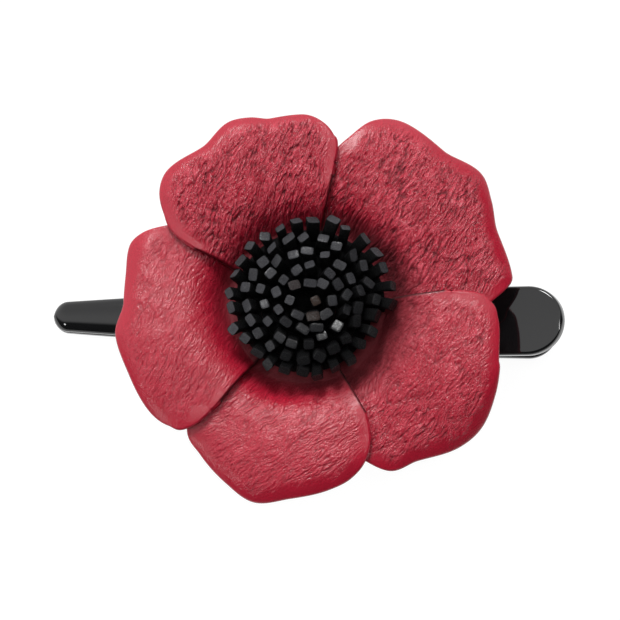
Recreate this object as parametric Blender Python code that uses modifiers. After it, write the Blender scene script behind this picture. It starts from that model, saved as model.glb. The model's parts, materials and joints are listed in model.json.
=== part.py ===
"""Flower hair clip: a leather poppy glued on a plastic beak clip.

Units are metres and +Z is up.  The origin lies under the flower's middle, on the clip's
centre line, on the flat face of the lower jaw.  +X runs from the tip to the thumb tabs.
"""

import math

import bmesh
import bpy
import numpy as np

MM = 0.001

# ---- clip, overall ---------------------------------------------------------------
TIP_REACH = 52.1 * MM          # origin to the tip of the jaws
TAB_REACH = 52.1 * MM          # origin to the end of the thumb tabs
UPPER_WIDTH = 14.0 * MM         # upper jaw and its tab
LOWER_WIDTH = 12.4 * MM         # lower jaw and its tab
TIP_WIDTH = 5.8 * MM            # both jaws at the tip
TAPER_END = 12.0 * MM           # where the jaws reach their full width
LOWER_THICK = 2.6 * MM
UPPER_THICK = 2.6 * MM
ARCH_RISE = 3.3 * MM            # crown of the upper jaw above its height at the hinge side
EDGE_ROUND = 0.5 * MM
TIP_LIFT = 1.0 * MM             # how far the lower jaw's tip curls up
TIP_CURL = 9.0 * MM             # length of that curl
BEAK_LENGTH = 5.0 * MM          # end of the upper jaw that lies on the lower jaw's tip
BEAK_RISE = 0.9 * MM            # how far the upper jaw rises over that end
# Arch of the upper jaw: distance from the tip, and share of ARCH_RISE still missing there.
ARCH = ((14 * MM, 0.8), (26 * MM, 0.3), (40 * MM, 0.05))
GAP = 0.3 * MM                  # clearance between pieces that seat on each other

# ---- hinge ----------------------------------------------------------------------
HINGE_X = 27.0 * MM
PIN_RADIUS = 1.0 * MM
PIN_HEAD_RADIUS = 1.6 * MM
PIN_HEAD_THICK = 0.5 * MM
EAR_RADIUS = 2.2 * MM
EAR_THICK = 1.3 * MM
WIRE_RADIUS = 0.45 * MM
SPRING_RADIUS = 2.0 * MM        # to the middle of the wire
SPRING_TURNS = 3                # full turns, plus the part turn between the legs
SPRING_PART_TURN = 0.45         # coil width over the full turns, for the part turn
SPRING_LEG = 12.0 * MM
SPRING_CLEAR = 0.15 * MM        # coil to each jaw, over GAP
TAB_SLOPE = math.radians(20.0)
TAB_BEND = 4.0 * MM             # length over which the upper jaw bends up into its tab
TAB_DIP = 0.6 * MM              # top of the upper jaw at the hinge, below its crown
WEB_SUNK = 0.6 * MM             # how far a lug's web runs into its jaw
WEB_WIDTH = 0.96                # a lug's web over the lug's own width

# ---- teeth ----------------------------------------------------------------------
TOOTH_HEIGHT = 1.0 * MM
TOOTH_BASE = 1.5 * MM
TOOTH_PITCH = 3.6 * MM
TOOTH_COUNT = 16
TOOTH_START = -42.0 * MM
TOOTH_INSET = 1.5 * MM          # jaw edge to the middle of a tooth
TOOTH_SUNK = 0.4 * MM           # how far a tooth's foot runs into its jaw

# ---- flower ---------------------------------------------------------------------
FLOWER_Y = 2.0 * MM             # flower axis, off the clip's centre line
LEATHER = 1.2 * MM              # petals and backing
PETAL_REACH = 40.0 * MM         # mean radius of the rims
BASE_RADIUS = 5.0 * MM          # inner ends of the petals
CUP_DEPTH = 7.2 * MM            # crest of the petals above their bases
VALLEY = 1.1 * MM               # dip of the flower between two petals
PETAL_GAP = 0.6 * MM            # between a petal and the one it lies on
DISC_RADIUS = 12.0 * MM
GLUE_LENGTH = 20.0 * MM
GLUE_WIDTH = 11.0 * MM
GLUE_THICK = 0.9 * MM           # over the crown of the upper jaw

# ---- stamens --------------------------------------------------------------------
STRIP_THICK = 1.9 * MM
STRIP_HEIGHT = 7.6 * MM
STRIP_UNCUT = 2.0 * MM
FINGER_PITCH = 2.95 * MM
FINGER_SLIT = 0.45 * MM
FINGER_COUNT = 88
ROLL_PITCH = 2.45 * MM
ROLL_START = 1.7 * MM           # radius of the innermost turn
ROLL_SPREAD = 1.21              # tip radius over base radius, at the outside
LEAN_OUTWARD = 1.2              # how soon the fingers start to lean, from the middle outwards
LEAN_UPWARD = 2.2               # how late a finger bends outwards on its way up
ROLL_DROOP = 0.10               # share of the height that the outermost tips lose
ROLL_END = -4.0                 # degrees from +X to the strip's outer end

# ---- heights that follow from the sizes above -------------------------------------
COIL_ROOM = SPRING_RADIUS + WIRE_RADIUS + GAP + SPRING_CLEAR
HINGE_Z = LOWER_THICK + COIL_ROOM
UPPER_UNDER_HINGE = HINGE_Z + COIL_ROOM
CROWN_TOP = UPPER_UNDER_HINGE + UPPER_THICK + TAB_DIP
GLUE_TOP = CROWN_TOP + GAP + GLUE_THICK
DISC_TOP = GLUE_TOP + GAP + LEATHER
LAYER = (LEATHER + PETAL_GAP) / 2   # a petal's edge above or below the flower's mean surface
PETAL_BASE = DISC_TOP + GAP + LEATHER / 2 + LAYER
STRIP_BOTTOM = PETAL_BASE + LAYER + LEATHER / 2 + GAP

# ---- places along the hinge axis --------------------------------------------------
SPRING_PITCH = 2 * WIRE_RADIUS + GAP
SPRING_HALF = (SPRING_TURNS + SPRING_PART_TURN) * SPRING_PITCH / 2 + WIRE_RADIUS
UPPER_EAR_IN = SPRING_HALF + GAP
LOWER_EAR_IN = UPPER_EAR_IN + EAR_THICK + GAP
PIN_HALF = LOWER_EAR_IN + EAR_THICK + GAP

UP_LEFT, UP_RIGHT, RIGHT, LOWER, LEFT = (
    "petal_upper_left", "petal_upper_right", "petal_right", "petal_lower", "petal_left")

# Rim marks of each petal, about the flower's axis: angle from +X in degrees, and radius
# as a share of PETAL_REACH.  The first and last marks are the widest points of its sides.
RIMS = {
    UP_RIGHT: ((-5, .70), (-3, .85), (2, .93), (9, 1.05), (22, 1.035), (31, 1.08), (38, 1.115),
               (50, 1.05), (62, 1.06), (72, .995), (77, .88), (81, .79), (84.5, .68)),
    RIGHT: ((287, .68), (288.5, .78), (292, .855), (297.5, .94), (306, .965), (318, 1.05),
            (325, 1.07), (335, 1.04), (347, .985), (356, .955), (361, .92), (365, .82),
            (366.5, .68)),
    LOWER: ((222.5, .68), (225, .81), (228, .88), (236, .93), (247, .99), (256, 1.03),
            (266, .98), (278, .935), (285, .90), (292, .83), (296.5, .74), (299.6, .62)),
    LEFT: ((146.5, .65), (148.5, .75), (152, .81), (158, .91), (163, .945), (172, .925),
           (181, .92), (191, .97), (202, .955), (215, .95), (223, .92), (228, .86),
           (230, .75), (230.5, .65)),
    UP_LEFT: ((79.6, .65), (80, .79), (82.5, .86), (87.5, .925), (93, .95), (102.5, .945),
              (108.5, .975), (114, .99), (125, .94), (137, .965), (143.5, .93), (149, .85),
              (154.5, .73), (156.2, .62)),
}
# Where each petal's two sides lie: +1 over its neighbour, -1 under it, at the first and
# at the last rim mark.
LAYERS = {UP_RIGHT: (-1, -1), RIGHT: (-1, 1), LOWER: (-1, 1), LEFT: (-1, 1), UP_LEFT: (1, 1)}
# Angles of the valleys between neighbouring petals.
SEAMS = (5.0, 80.0, 154.0, 230.0, 299.0)
# Section of the flower: share of PETAL_REACH, and share of CUP_DEPTH.
SECTION = ((0, 0), (.39, 0), (.42, .08), (.46, .36), (.505, .66), (.565, .87), (.65, .98),
           (.74, 1.0), (.85, .96), (.95, .84), (1.03, .68), (1.15, .35))
VALLEY_FROM, VALLEY_FULL = .32, .72  # shares of PETAL_REACH where the valleys start and end growing
RIM_LIFT = 2.6 * MM             # one stretch of rim, over the thumb tab, stands higher
LIFT_ANGLE = -14.0              # degrees from +X to the middle of that stretch
LIFT_WIDTH = 20.0               # half its width in degrees
LIFT_FROM = .62                 # share of PETAL_REACH where it starts to rise
SIDE_WAIST = 0.96               # a petal's angular width at its base over that at its sides
LAYER_HOLD = 0.13               # share of a petal's width that stays wholly over or under
PETAL_COLUMNS = 22
PETAL_ROWS = 15

RED = (0.43, 0.012, 0.022, 1.0)
BLACK_LEATHER = (0.012, 0.012, 0.014, 1.0)
BLACK_PLASTIC = (0.004, 0.004, 0.005, 1.0)
STEEL = (0.55, 0.55, 0.56, 1.0)
GLUE = (0.30, 0.27, 0.20, 1.0)


def clear_scene():
    for old in list(bpy.data.objects):
        bpy.data.objects.remove(old, do_unlink=True)


def new_collection(name):
    group = bpy.data.collections.new(name)
    bpy.context.scene.collection.children.link(group)
    return group


def material(name, colour, roughness, metallic=0.0):
    made = bpy.data.materials.new(name)
    made.use_nodes = True
    shader = made.node_tree.nodes["Principled BSDF"]
    shader.inputs["Base Color"].default_value = colour
    shader.inputs["Roughness"].default_value = roughness
    shader.inputs["Metallic"].default_value = metallic
    return made


def add_object(name, mesh, group, finish=None, smooth_angle=35.0):
    piece = bpy.data.objects.new(name, mesh)
    group.objects.link(piece)
    if finish:
        mesh.materials.append(finish)
        mesh.shade_smooth()
        mesh.set_sharp_from_angle(angle=math.radians(smooth_angle))
    return piece


def smooth_through(marks, at):
    """Smooth curve through (x, y) marks that never overshoots them, read at the places `at`."""
    x, y = np.array(marks, float).T
    step = np.diff(x)
    rise = np.diff(y) / step
    slope = np.concatenate(([rise[0]], (rise[1:] + rise[:-1]) / 2, [rise[-1]]))
    steepest = 3 * np.minimum(np.abs(rise[1:]), np.abs(rise[:-1])) * (rise[1:] * rise[:-1] > 0)
    slope[1:-1] = np.clip(slope[1:-1], -steepest, steepest)
    i = np.clip(np.searchsorted(x, at) - 1, 0, len(step) - 1)
    t = (at - x[i]) / step[i]
    return (y[i] * (1 + 2 * t) * (1 - t) ** 2 + slope[i] * step[i] * t * (1 - t) ** 2
            + y[i + 1] * t * t * (3 - 2 * t) - slope[i + 1] * step[i] * t * t * (1 - t))


def loft(name, sections):
    """Closed mesh from rings of points, each ring joined to the next, with flat ends."""
    shape = bmesh.new()
    rings = [[shape.verts.new(point) for point in ring] for ring in sections]
    for ring, following in zip(rings, rings[1:]):
        for k in range(len(ring)):
            after = (k + 1) % len(ring)
            shape.faces.new((ring[k], ring[after], following[after], following[k]))
    shape.faces.new(reversed(rings[0]))
    shape.faces.new(rings[-1])
    bmesh.ops.recalc_face_normals(shape, faces=shape.faces)
    mesh = bpy.data.meshes.new(name)
    shape.to_mesh(mesh)
    shape.free()
    return mesh


def half_width(x, full_width):
    """Half width of a jaw at x: round tip, straight taper, straight sides, round tab end."""
    share = np.clip((x + TIP_REACH) / (TAPER_END + TIP_REACH), 0, 1)
    side = (TIP_WIDTH + (full_width - TIP_WIDTH) * share) / 2
    from_tip = x + TIP_REACH
    from_end = TAB_REACH - x
    tip = TIP_WIDTH / 2
    end = full_width / 2
    round_tip = math.sqrt(tip ** 2 - (tip - min(from_tip, tip)) ** 2)
    round_end = math.sqrt(end ** 2 - (end - min(from_end, end)) ** 2)
    return min(side, round_end if from_tip > tip else round_tip)


def edge_drop(x):
    """How far a face is rounded down at the very tip and the very end of a jaw."""
    inside = EDGE_ROUND - min(x + TIP_REACH, TAB_REACH - x, EDGE_ROUND)
    return EDGE_ROUND - math.sqrt(EDGE_ROUND ** 2 - inside ** 2)


def stations(full_width):
    """Places along a jaw where its sections stand, closer together on the round ends."""
    turn = np.radians((6, 18, 33, 52, 72))
    tip = -TIP_REACH + TIP_WIDTH / 2 * (1 - np.cos(turn))
    end = TAB_REACH - full_width / 2 * (1 - np.cos(turn[::-1]))
    first = -TIP_REACH + TIP_WIDTH / 2
    last = TAB_REACH - full_width / 2
    return np.concatenate((tip, np.linspace(first, last, 30), end))


def jaw_section(x, width, bottom, top):
    """Rounded rectangle across the jaw at x, from bottom to top."""
    corner = min(EDGE_ROUND, width * 0.45)
    drop = edge_drop(x)
    ring = []
    for side, level, first in ((1, 0, 270), (1, 1, 0), (-1, 1, 90), (-1, 0, 180)):
        centre_y = side * (width - corner)
        centre_z = (bottom + drop + corner, top - drop - corner)[level]
        for step in range(4):
            angle = math.radians(first + 30 * step)
            ring.append((x, centre_y + corner * math.cos(angle),
                         centre_z + corner * math.sin(angle)))
    return ring


def lower_heights(x):
    """Underside and top of the lower jaw: flat, with the tip curled up a little."""
    lift = TIP_LIFT * max(0.0, (TIP_CURL - TIP_REACH - x) / TIP_CURL) ** 2
    return lift, LOWER_THICK + lift


def upper_under(x):
    """Underside of the upper jaw: closed at the tip, arched over the hair, then the tab."""
    closed = LOWER_THICK + TIP_LIFT + GAP
    crown = CROWN_TOP - UPPER_THICK
    tab = math.tan(TAB_SLOPE)
    bend_end = HINGE_X + TAB_BEND
    if x >= bend_end:
        return UPPER_UNDER_HINGE + tab * (x - HINGE_X)
    arch = smooth_through((
        (-TIP_REACH, closed), (-TIP_REACH + BEAK_LENGTH, closed + BEAK_RISE),
        *((-TIP_REACH + along, crown - ARCH_RISE * share) for along, share in ARCH), (0.0, crown),
        (HINGE_X - 6 * MM, UPPER_UNDER_HINGE + 0.2 * MM), (HINGE_X, UPPER_UNDER_HINGE + 0.1 * MM),
        (bend_end, UPPER_UNDER_HINGE + tab * TAB_BEND)), np.array([x]))
    return float(arch[0])


def squared(ring, bottom, slope):
    """Lean a section back along a sloping tab, so that it stands square to the tab."""
    back = math.sin(slope) * math.cos(slope)
    drop = math.sin(slope) ** 2
    return [(x - (z - bottom) * back, y, z - (z - bottom) * drop) for x, y, z in ring]


def jaw(name, full_width, heights, slope, group, finish):
    """Jaw with its tab rising at a slope; sections lean over gradually along the tab."""
    sections = []
    lean_from = HINGE_X + TAB_BEND
    for x in stations(full_width):
        bottom, top = heights(x)
        ring = jaw_section(x, half_width(x, full_width), bottom, top)
        lean = slope * min(1.0, max(0.0, (x - lean_from) / (TAB_REACH - full_width / 2 - lean_from)))
        sections.append(squared(ring, bottom, lean) if lean else ring)
    return add_object(name, loft(name, sections), group, finish)


def cut_or_join(piece, tool, operation):
    change = piece.modifiers.new(tool.name, "BOOLEAN")
    change.operation = operation
    change.solver = "EXACT"
    change.object = tool


def guide(piece, cutters):
    """Make a tool object of a piece: it shapes others and isn't part of the clip."""
    for group in list(piece.users_collection):
        group.objects.unlink(piece)
    cutters.objects.link(piece)
    piece.hide_render = True
    piece.display_type = "WIRE"
    return piece


def cylinder_y(name, radius, length, centre, segments=24):
    """Cylinder along Y."""
    bpy.ops.mesh.primitive_cylinder_add(vertices=segments, radius=radius, depth=length,
                                        location=centre, rotation=(math.radians(90), 0, 0))
    made = bpy.context.object
    made.name = name
    return made


def box(name, low, high):
    bpy.ops.mesh.primitive_cube_add(size=1)
    made = bpy.context.object
    made.name = name
    made.location = [(a + b) / 2 for a, b in zip(low, high)]
    made.scale = [b - a for a, b in zip(low, high)]
    bpy.ops.object.transform_apply(location=False, rotation=False, scale=True)
    return made


def tooth_rows(name, full_width, level, direction, shift, cutters):
    """Two rows of pyramids along a jaw, pointing up (+1) or down (-1)."""
    shape = bmesh.new()
    for k in range(TOOTH_COUNT):
        x = TOOTH_START + shift + k * TOOTH_PITCH
        y = half_width(x, full_width) - TOOTH_INSET
        for side in (1, -1):
            base_z = level(x) - direction * TOOTH_SUNK
            half = TOOTH_BASE / 2
            corners = [shape.verts.new((x + a * half, side * y + b * half, base_z))
                       for a, b in ((-1, -1), (1, -1), (1, 1), (-1, 1))]
            tip = shape.verts.new((x, side * y, base_z + direction * (TOOTH_HEIGHT + TOOTH_SUNK)))
            shape.faces.new(corners)
            for n in range(4):
                shape.faces.new((corners[n], corners[(n + 1) % 4], tip))
    bmesh.ops.recalc_face_normals(shape, faces=shape.faces)
    mesh = bpy.data.meshes.new(name)
    shape.to_mesh(mesh)
    shape.free()
    return guide(add_object(name, mesh, cutters), cutters)


def add_ears(piece, inner, foot_level, group, cutters, bore):
    """Two lugs on a jaw that carry the hinge pin, with the pin's bore through them."""
    for side, word in ((1, "far"), (-1, "near")):
        middle = side * (inner + EAR_THICK / 2)
        lug = cylinder_y(f"{piece.name}_lug_{word}", EAR_RADIUS, EAR_THICK, (HINGE_X, middle, HINGE_Z))
        low, high = sorted((HINGE_Z, foot_level))
        web = box(f"{piece.name}_web_{word}",
                  (HINGE_X - EAR_RADIUS * WEB_WIDTH, middle - EAR_THICK / 2, low),
                  (HINGE_X + EAR_RADIUS * WEB_WIDTH, middle + EAR_THICK / 2, high))
        for tool in (web, lug):
            cut_or_join(piece, guide(tool, cutters), "UNION")
    hole = cylinder_y(f"{piece.name}_bore", bore, 4 * PIN_HALF, (HINGE_X, 0, HINGE_Z))
    cut_or_join(piece, guide(hole, cutters), "DIFFERENCE")


def make_lower_jaw(group, cutters, finish):
    piece = jaw("lower_jaw", LOWER_WIDTH, lower_heights, 0.0, group, finish)
    add_ears(piece, LOWER_EAR_IN, LOWER_THICK - WEB_SUNK, group, cutters, PIN_RADIUS + GAP)
    teeth = tooth_rows("lower_teeth", LOWER_WIDTH, lambda x: lower_heights(x)[1], 1, 0.0, cutters)
    cut_or_join(piece, teeth, "UNION")
    return piece


def make_upper_jaw(group, cutters, finish):
    piece = jaw("upper_jaw", UPPER_WIDTH, lambda x: (upper_under(x), upper_under(x) + UPPER_THICK),
                TAB_SLOPE, group, finish)
    add_ears(piece, UPPER_EAR_IN, UPPER_UNDER_HINGE + WEB_SUNK, group, cutters, PIN_RADIUS + GAP)
    teeth = tooth_rows("upper_teeth", LOWER_WIDTH, upper_under, -1, TOOTH_PITCH / 2, cutters)
    cut_or_join(piece, teeth, "UNION")
    return piece


def make_pin(group, finish):
    """Turned steel pin with a flat head at each end."""
    outline = ((0, PIN_HALF + PIN_HEAD_THICK), (PIN_HEAD_RADIUS, PIN_HALF + PIN_HEAD_THICK),
               (PIN_HEAD_RADIUS, PIN_HALF), (PIN_RADIUS, PIN_HALF), (PIN_RADIUS, -PIN_HALF),
               (PIN_HEAD_RADIUS, -PIN_HALF), (PIN_HEAD_RADIUS, -PIN_HALF - PIN_HEAD_THICK),
               (0, -PIN_HALF - PIN_HEAD_THICK))
    mesh = bpy.data.meshes.new("hinge_pin")
    mesh.from_pydata([(r, 0, z) for r, z in outline], [(k, k + 1) for k in range(7)], [])
    piece = add_object("hinge_pin", mesh, group, finish)
    turn = piece.modifiers.new("turn", "SCREW")
    turn.steps = turn.render_steps = 24
    turn.use_merge_vertices = True
    turn.merge_threshold = 0.00001
    piece.location = (HINGE_X, 0, HINGE_Z)
    piece.rotation_euler = (math.radians(90), 0, 0)
    return piece


def make_spring(group, finish):
    """Torsion spring: upper leg under the tab, turns about the pin, lower leg on the lower tab."""
    start = math.pi / 2 + TAB_SLOPE
    stop = 1.5 * math.pi + 2 * math.pi * SPRING_TURNS
    steps = 16 * SPRING_TURNS + 8
    width = SPRING_PITCH * (stop - start) / (2 * math.pi)
    points = [(HINGE_X + SPRING_RADIUS * math.cos(start) + SPRING_LEG * math.cos(TAB_SLOPE), width / 2,
               HINGE_Z + SPRING_RADIUS * math.sin(start) + SPRING_LEG * math.sin(TAB_SLOPE))]
    for k in range(steps + 1):
        angle = start + (stop - start) * k / steps
        points.append((HINGE_X + SPRING_RADIUS * math.cos(angle), width / 2 - width * k / steps,
                       HINGE_Z + SPRING_RADIUS * math.sin(angle)))
    points.append((HINGE_X + SPRING_LEG, -width / 2, HINGE_Z - SPRING_RADIUS))
    wire = bpy.data.curves.new("torsion_spring", "CURVE")
    wire.dimensions = "3D"
    wire.bevel_depth = WIRE_RADIUS
    wire.bevel_resolution = 2
    wire.use_fill_caps = True
    line = wire.splines.new("POLY")
    line.points.add(len(points) - 1)
    for place, point in zip(line.points, points):
        place.co = (*point, 1.0)
    wire.materials.append(finish)
    piece = bpy.data.objects.new("torsion_spring", wire)
    group.objects.link(piece)
    return piece


def make_glue(group, finish):
    """Glue bed: its underside follows the upper jaw's crown and its top is flat."""
    sections = []
    for x in np.linspace(-GLUE_LENGTH / 2, GLUE_LENGTH / 2, 9):
        width = GLUE_WIDTH / 2 * math.sqrt(1 - (x / GLUE_LENGTH * 1.5) ** 2)
        low = upper_under(x) + UPPER_THICK + GAP
        sections.append([(x, -width, low), (x, width, low), (x, width, GLUE_TOP), (x, -width, GLUE_TOP)])
    return add_object("glue_bed", loft("glue_bed", sections), group, finish)


def make_disc(group, finish):
    bpy.ops.mesh.primitive_cylinder_add(vertices=40, radius=DISC_RADIUS, depth=LEATHER,
                                        location=(0, FLOWER_Y, DISC_TOP - LEATHER / 2))
    piece = bpy.context.object
    piece.name = "backing_disc"
    for old in list(piece.users_collection):
        old.objects.unlink(piece)
    group.objects.link(piece)
    piece.data.materials.append(finish)
    return piece


def flower_height(radius, angle):
    """Mean surface of the flower: a well, a crest and rims rolled down, with valleys at the seams."""
    share = radius / PETAL_REACH
    profile = smooth_through(SECTION, share) * CUP_DEPTH
    seams = np.array(SEAMS + (SEAMS[0] + 360,))
    place = (angle - seams[0]) % 360 + seams[0]
    k = np.clip(np.searchsorted(seams, place) - 1, 0, len(seams) - 2)
    phase = (place - seams[k]) / (seams[k + 1] - seams[k])
    dip = VALLEY * (0.5 + 0.5 * np.cos(2 * math.pi * phase))
    dip = dip * np.clip((share - VALLEY_FROM) / (VALLEY_FULL - VALLEY_FROM), 0, 1)
    beside = (angle - LIFT_ANGLE + 180) % 360 - 180
    outward = np.clip((share - LIFT_FROM) / (1 - LIFT_FROM), 0, 1)
    lift = RIM_LIFT * np.exp(-(beside / LIFT_WIDTH) ** 2) * outward ** 2
    return PETAL_BASE + profile - dip + lift


def flower_points(radius, angle, offset):
    """Points at an offset along the normal of the flower's mean surface."""
    tiny = 0.02 * MM
    turn = np.radians(angle)
    slope_r = (flower_height(radius + tiny, angle) - flower_height(radius - tiny, angle)) / (2 * tiny)
    twist = np.degrees(tiny / radius)
    slope_a = (flower_height(radius, angle + twist) - flower_height(radius, angle - twist)) / (2 * tiny)
    length = np.sqrt(1 + slope_r ** 2 + slope_a ** 2)
    out = radius - offset * slope_r / length
    side = -offset * slope_a / length
    x = out * np.cos(turn) - side * np.sin(turn)
    y = out * np.sin(turn) + side * np.cos(turn) + FLOWER_Y
    z = flower_height(radius, angle) + offset / length
    return np.stack((x, y, z), axis=-1)


def rim_points(marks, along):
    """Angle and radius at even steps of length along the rim that joins a petal's marks."""
    angle = np.linspace(marks[0][0], marks[-1][0], 721)
    reach = smooth_through(marks, angle) * PETAL_REACH
    x, y = reach * np.cos(np.radians(angle)), reach * np.sin(np.radians(angle))
    length = np.concatenate(([0], np.cumsum(np.hypot(np.diff(x), np.diff(y)))))
    angle = np.interp(along * length[-1], length, angle)
    return angle, smooth_through(marks, angle) * PETAL_REACH


def make_petal(name, group, finish):
    """Leather petal: a grid from the base to the rim marks, on the flower's mean surface."""
    marks = RIMS[name]
    first, last = marks[0][0], marks[-1][0]
    centre = (first + last) / 2
    along = np.linspace(0, 1, PETAL_COLUMNS + 1)
    rim_angle, reach = rim_points(marks, along)
    up = np.linspace(0, 1, PETAL_ROWS + 1)[:, None]
    even = first + (last - first) * along
    angle = even + (rim_angle - even) * up ** 2
    radius = BASE_RADIUS + up * (reach[None, :] - BASE_RADIUS)
    widest = marks[0][1] * PETAL_REACH
    waist = SIDE_WAIST + (1 - SIDE_WAIST) * np.clip(
        (radius - BASE_RADIUS) / (widest - BASE_RADIUS), 0, 1) ** 0.8
    angles = centre + (angle - centre) * waist
    start, stop = LAYERS[name]
    across = (angle - first) / (last - first)
    blend = np.clip((across - LAYER_HOLD) / (1 - 2 * LAYER_HOLD), 0, 1)
    offset = LAYER * (start + (stop - start) * blend * blend * (3 - 2 * blend))
    points = flower_points(radius, angles, offset + 0 * radius)
    bpy.ops.mesh.primitive_grid_add(x_subdivisions=PETAL_COLUMNS, y_subdivisions=PETAL_ROWS, size=1)
    piece = bpy.context.object
    piece.name = name
    piece.data.name = name
    for old in list(piece.users_collection):
        old.objects.unlink(piece)
    group.objects.link(piece)
    piece.data.vertices.foreach_set("co", points[:, ::-1].reshape(-1))
    piece.data.materials.append(finish)
    piece.data.shade_smooth()
    wall = piece.modifiers.new("thickness", "SOLIDIFY")
    wall.thickness = LEATHER
    wall.offset = 0
    return piece


def strip_point(length, share):
    """Middle of the rolled strip at a length along it and a share of its height."""
    start = ROLL_START
    growth = ROLL_PITCH / (2 * math.pi)
    turn = (math.sqrt(start ** 2 + 2 * growth * length) - start) / growth
    radius = start + growth * turn
    whole = FINGER_PITCH * FINGER_COUNT
    outer = math.sqrt(start ** 2 + 2 * growth * whole)
    lean = (ROLL_SPREAD - 1) * (radius / outer) ** LEAN_OUTWARD * share ** LEAN_UPWARD
    end_turn = (outer - start) / growth
    angle = end_turn - turn + math.radians(ROLL_END)
    out = radius * (1 + lean)
    return (out * math.cos(angle), FLOWER_Y + out * math.sin(angle),
            STRIP_BOTTOM + STRIP_HEIGHT * share * (1 - ROLL_DROOP * share * radius / outer))


def make_stamens(group, finish):
    """One leather strip, slit into fingers along its upper edge and rolled up."""
    shape = bmesh.new()
    uncut = STRIP_UNCUT / STRIP_HEIGHT
    shares = (0.0, uncut, (1 + uncut) / 2, 1.0)
    cells = []
    for k in range(FINGER_COUNT):
        cells.append((k * FINGER_PITCH, True))
        cells.append(((k + 1) * FINGER_PITCH - FINGER_SLIT, False))
    edges = [length for length, _ in cells[:-1]] + [cells[-1][0]]
    grid = {}

    def vertex(k, row):
        if (k, row) not in grid:
            grid[k, row] = shape.verts.new(strip_point(edges[k], shares[row]))
        return grid[k, row]

    for k, (_, finger) in enumerate(cells[:-1]):
        for row in range(3 if finger else 1):
            shape.faces.new((vertex(k, row), vertex(k + 1, row), vertex(k + 1, row + 1), vertex(k, row + 1)))
    bmesh.ops.recalc_face_normals(shape, faces=shape.faces)
    mesh = bpy.data.meshes.new("stamen_coil")
    shape.to_mesh(mesh)
    shape.free()
    piece = add_object("stamen_coil", mesh, group, finish)
    wall = piece.modifiers.new("thickness", "SOLIDIFY")
    wall.thickness = STRIP_THICK
    wall.offset = 0
    return piece


def hang_on_axis(name, axis_point, pieces, group):
    """Parent pieces to an empty on the axis they turn about, where they are."""
    pivot = bpy.data.objects.new(name, None)
    pivot.location = axis_point
    group.objects.link(pivot)
    bpy.context.view_layer.update()
    for piece in pieces:
        piece.parent = pivot
        piece.matrix_parent_inverse = pivot.matrix_world.inverted()


def main():
    clear_scene()
    parts = new_collection("flower_hair_clip")
    cutters = new_collection("cutters")
    plastic = material("black_plastic", BLACK_PLASTIC, 0.08)
    steel = material("spring_steel", STEEL, 0.3, 1.0)
    red = material("red_leather", RED, 0.5)
    black = material("black_leather", BLACK_LEATHER, 0.55)
    glue = material("glue", GLUE, 0.4)
    still = [make_lower_jaw(parts, cutters, plastic), make_pin(parts, steel),
             make_spring(parts, steel)]
    moving = [make_upper_jaw(parts, cutters, plastic), make_glue(parts, glue),
              make_disc(parts, black)]
    moving += [make_petal(name, parts, red) for name in RIMS]
    moving.append(make_stamens(parts, black))
    hinge = (HINGE_X, 0, HINGE_Z)
    hang_on_axis("lower_body", hinge, still, parts)
    hang_on_axis("upper_body", hinge, moving, parts)


main()
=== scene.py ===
"""Looks of the flower hair clip: leather petals, fringed centre, polished jaws and hinge.

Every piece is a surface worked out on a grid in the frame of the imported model: metres, +Z up,
+X along the clip from its tip to its thumb tabs.
"""

import json
import math

import bpy
import numpy as np
from mathutils import Matrix, Vector


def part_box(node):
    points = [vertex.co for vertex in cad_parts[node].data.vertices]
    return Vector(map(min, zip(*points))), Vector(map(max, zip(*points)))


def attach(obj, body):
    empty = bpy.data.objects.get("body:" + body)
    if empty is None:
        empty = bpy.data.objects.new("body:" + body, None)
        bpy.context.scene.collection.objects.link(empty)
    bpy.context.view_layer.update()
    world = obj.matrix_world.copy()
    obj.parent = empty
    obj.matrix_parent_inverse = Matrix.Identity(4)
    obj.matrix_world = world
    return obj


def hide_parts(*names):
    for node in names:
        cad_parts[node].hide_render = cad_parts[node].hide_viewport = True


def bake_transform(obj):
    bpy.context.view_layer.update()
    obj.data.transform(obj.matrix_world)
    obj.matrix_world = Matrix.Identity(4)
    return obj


MM = 0.001
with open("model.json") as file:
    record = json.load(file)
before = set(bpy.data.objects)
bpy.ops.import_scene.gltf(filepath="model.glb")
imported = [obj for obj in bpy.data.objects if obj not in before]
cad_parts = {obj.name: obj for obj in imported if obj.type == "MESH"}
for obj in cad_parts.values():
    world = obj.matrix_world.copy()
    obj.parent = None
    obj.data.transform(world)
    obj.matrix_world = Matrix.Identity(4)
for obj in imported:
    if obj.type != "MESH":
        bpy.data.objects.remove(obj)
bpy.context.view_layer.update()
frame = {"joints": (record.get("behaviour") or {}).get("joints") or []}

# ---- places read from the frame ---------------------------------------------------
JOINT = next(joint for joint in frame["joints"] if joint["name"] == "jaw_open")
HINGE = Vector(JOINT["pos_m"])
LOWER_LOW, LOWER_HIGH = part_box("lower_jaw")
UPPER_LOW, UPPER_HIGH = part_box("upper_jaw")
DISC_LOW, DISC_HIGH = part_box("backing_disc")
GLUE_LOW, GLUE_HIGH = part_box("glue_bed")
PIN_LOW, PIN_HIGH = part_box("hinge_pin")

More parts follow.
